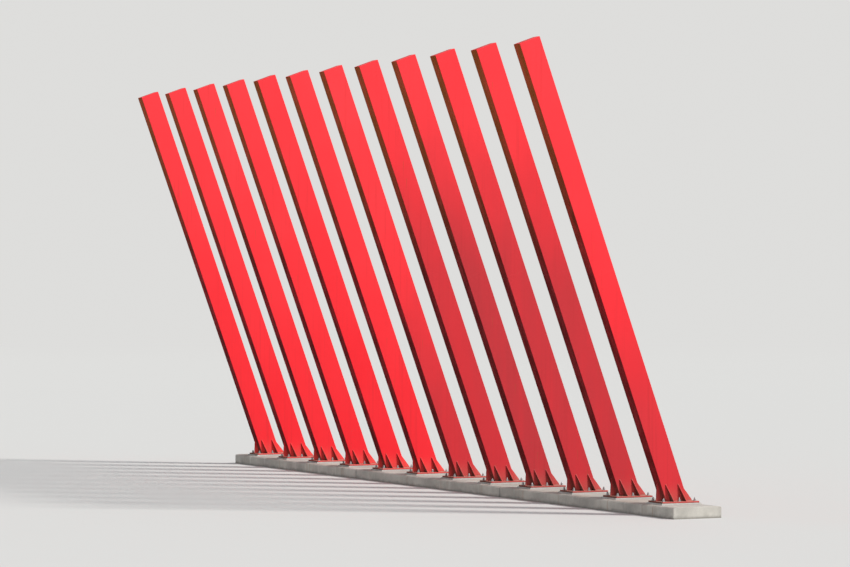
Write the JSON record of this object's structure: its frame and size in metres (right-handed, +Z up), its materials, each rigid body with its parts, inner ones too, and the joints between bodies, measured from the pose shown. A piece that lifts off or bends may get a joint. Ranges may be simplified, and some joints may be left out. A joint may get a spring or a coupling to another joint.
{
  "type": "leaning beam roadside gateway",
  "caption": "Straight row of tall leaning steel box beams, painted red, each welded to a bolted base shoe on a low cast concrete plinth.",
  "frame": {"origin": "centre of the plinth's underside, at ground level", "axes": "+Y along the row, +Z up, the beams lean towards -X"},
  "size_m": [5.1931, 28.78, 12.0501],
  "materials": {
    "beam_paint": "sun-faded satin red paint on welded steel plate",
    "cap_paint": "weathered satin red paint on steel plate",
    "shoe_paint": "dusty satin red paint on thick steel plate",
    "concrete": "weathered board-struck cast concrete",
    "grout": "trowelled cement grout",
    "joint_board": "dark compressible joint board"
  },
  "bodies": {
    "root": {"beam_01": "beam_paint", "beam_02": "beam_paint", "beam_03": "beam_paint", "beam_04": "beam_paint", "beam_05": "beam_paint", "beam_06": "beam_paint", "beam_07": "beam_paint", "beam_08": "beam_paint", "beam_09": "beam_paint", "beam_10": "beam_paint", "beam_11": "beam_paint", "beam_12": "beam_paint", "cap_01": "cap_paint", "cap_02": "cap_paint", "cap_03": "cap_paint", "cap_04": "cap_paint", "cap_05": "cap_paint", "cap_06": "cap_paint", "cap_07": "cap_paint", "cap_08": "cap_paint", "cap_09": "cap_paint", "cap_10": "cap_paint", "cap_11": "cap_paint", "cap_12": "cap_paint", "shoe_01": "shoe_paint", "shoe_02": "shoe_paint", "shoe_03": "shoe_paint", "shoe_04": "shoe_paint", "shoe_05": "shoe_paint", "shoe_06": "shoe_paint", "shoe_07": "shoe_paint", "shoe_08": "shoe_paint", "shoe_09": "shoe_paint", "shoe_10": "shoe_paint", "shoe_11": "shoe_paint", "shoe_12": "shoe_paint", "plinth_01": "concrete", "plinth_02": "concrete", "plinth_03": "concrete", "grout_beds": "grout", "joint_fillers": "joint_board"}
  },
  "joints": []
}
